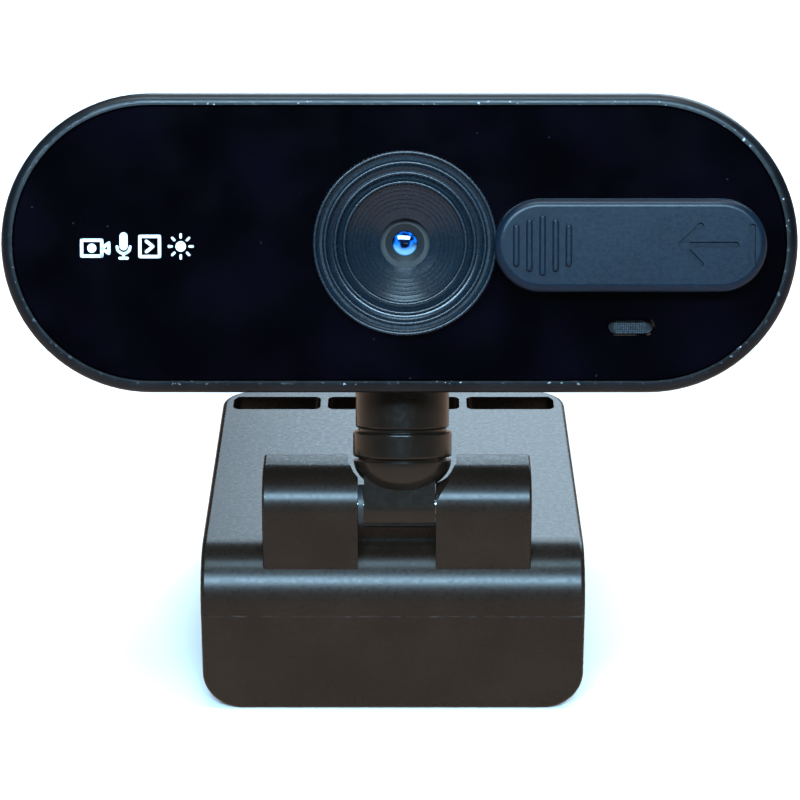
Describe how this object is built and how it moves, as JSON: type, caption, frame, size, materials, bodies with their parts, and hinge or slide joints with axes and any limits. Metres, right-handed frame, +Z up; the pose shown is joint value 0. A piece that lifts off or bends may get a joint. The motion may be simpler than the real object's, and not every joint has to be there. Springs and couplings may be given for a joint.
{
  "type": "webcam on folding clip stand",
  "caption": "Pill-shaped webcam with a knurled focus ring and a sliding privacy cover, leaning back on a swivel neck above a folding clip stand.",
  "frame": {"origin": "bottom centre of the bounding box, on the surface that the stand rests on", "axes": "+Z up, -Y towards whoever the lens faces, +X to the right of a person facing the lens, along the head"},
  "size_m": [0.08, 0.0468, 0.0651],
  "materials": {
    "shell_plastic": "fine grained satin black",
    "panel_plastic": "polished black",
    "ring_plastic": "satin black, knurled rim",
    "barrel_plastic": "matt black",
    "holder_plastic": "matt black",
    "cover_plastic": "satin black",
    "neck_plastic": "satin black",
    "clip_plastic": "fine grained satin black",
    "soft_rubber": "matt",
    "zinc_steel": "zinc plated",
    "spring_steel": "bright",
    "pin_steel": "ground",
    "insert_brass": "turned and knurled",
    "pin_brass": "plated",
    "lens_glass": "coated",
    "filter_glass": "coated",
    "sensor_silicon": "iridescent",
    "board_laminate": "solder mask",
    "chip_epoxy": "moulded",
    "capacitor_ceramic": "fired",
    "connector_plastic": "moulded",
    "capsule_aluminium": "drawn",
    "mesh_fabric": "woven",
    "washer_nylon": "moulded black",
    "print_ink": "pad printed grey"
  },
  "bodies": {
    "stand": {"clip_bracket": "clip_plastic", "tilt_pin": "pin_steel", "tilt_washer": "washer_nylon", "lip_pad": "soft_rubber", "plate_pad": "soft_rubber", "leg_pin": "pin_steel", "leg_washers": "washer_nylon"},
    "leg": {"rear_leg": "clip_plastic", "foot_pads": "soft_rubber", "leg_pad": "soft_rubber", "tripod_insert": "insert_brass"},
    "neck": {"tilt_arm": "neck_plastic", "swivel_collar": "neck_plastic", "swivel_spring": "spring_steel", "swivel_washer": "spring_steel", "swivel_screw": "zinc_steel"},
    "focus": {"focus_ring": "ring_plastic", "focus_retainer": "ring_plastic"},
    "barrel": {"lens_barrel": "barrel_plastic", "front_lens": "lens_glass", "rear_lens": "lens_glass"},
    "cover": {"privacy_cover": "cover_plastic", "cover_retainer": "holder_plastic", "cover_screw": "zinc_steel"},
    "head": {"front_shell": "shell_plastic", "rear_shell": "shell_plastic", "front_panel": "panel_plastic", "cable_gland": "soft_rubber", "case_screws": "zinc_steel", "lens_holder": "holder_plastic", "ir_filter": "filter_glass", "image_sensor": "sensor_silicon", "main_board": "board_laminate", "controller_chip": "chip_epoxy", "flash_chip": "chip_epoxy", "clock_crystal": "zinc_steel", "board_capacitors": "capacitor_ceramic", "cable_connector": "connector_plastic", "connector_pins": "pin_brass", "mic_capsule": "capsule_aluminium", "mic_boot": "soft_rubber", "mic_mesh": "mesh_fabric", "board_screws": "zinc_steel", "holder_screws": "zinc_steel", "swivel_socket": "neck_plastic"}
  },
  "joints": [
    {"name": "leg_fold", "type": "hinge", "parent": "stand", "child": "leg", "pos_m": [-0.0007, 0.01968, 0.012], "axis": [1, 0, 0], "range_deg": [0, 90]},
    {"name": "tilt", "type": "hinge", "parent": "stand", "child": "neck", "pos_m": [0, -0.01812, 0.02205], "axis": [1, 0, 0], "range_deg": [-10, 50]},
    {"name": "pan", "type": "hinge", "parent": "neck", "child": "head", "pos_m": [0.0003, -0.0147, 0.03145], "axis": [0, 0.342, 0.9397], "continuous": true},
    {"name": "cover_slide", "type": "slide", "parent": "head", "child": "cover", "axis": [-1, 0, 0], "range_m": [0, 0.0135]},
    {"name": "focus_turn", "type": "hinge", "parent": "head", "child": "focus", "pos_m": [0.00055, -0.01722, 0.05083], "axis": [0, -0.9397, 0.342], "range_deg": [-135, 135]},
    {"name": "barrel_travel", "type": "slide", "parent": "focus", "child": "barrel", "axis": [0, -0.9397, 0.342], "range_m": [-0.0002, 0.0002]}
  ],
  "couplings": [
    {"joint": "barrel_travel", "follows": "focus_turn", "m_per_rad": 0.000079577}
  ]
}
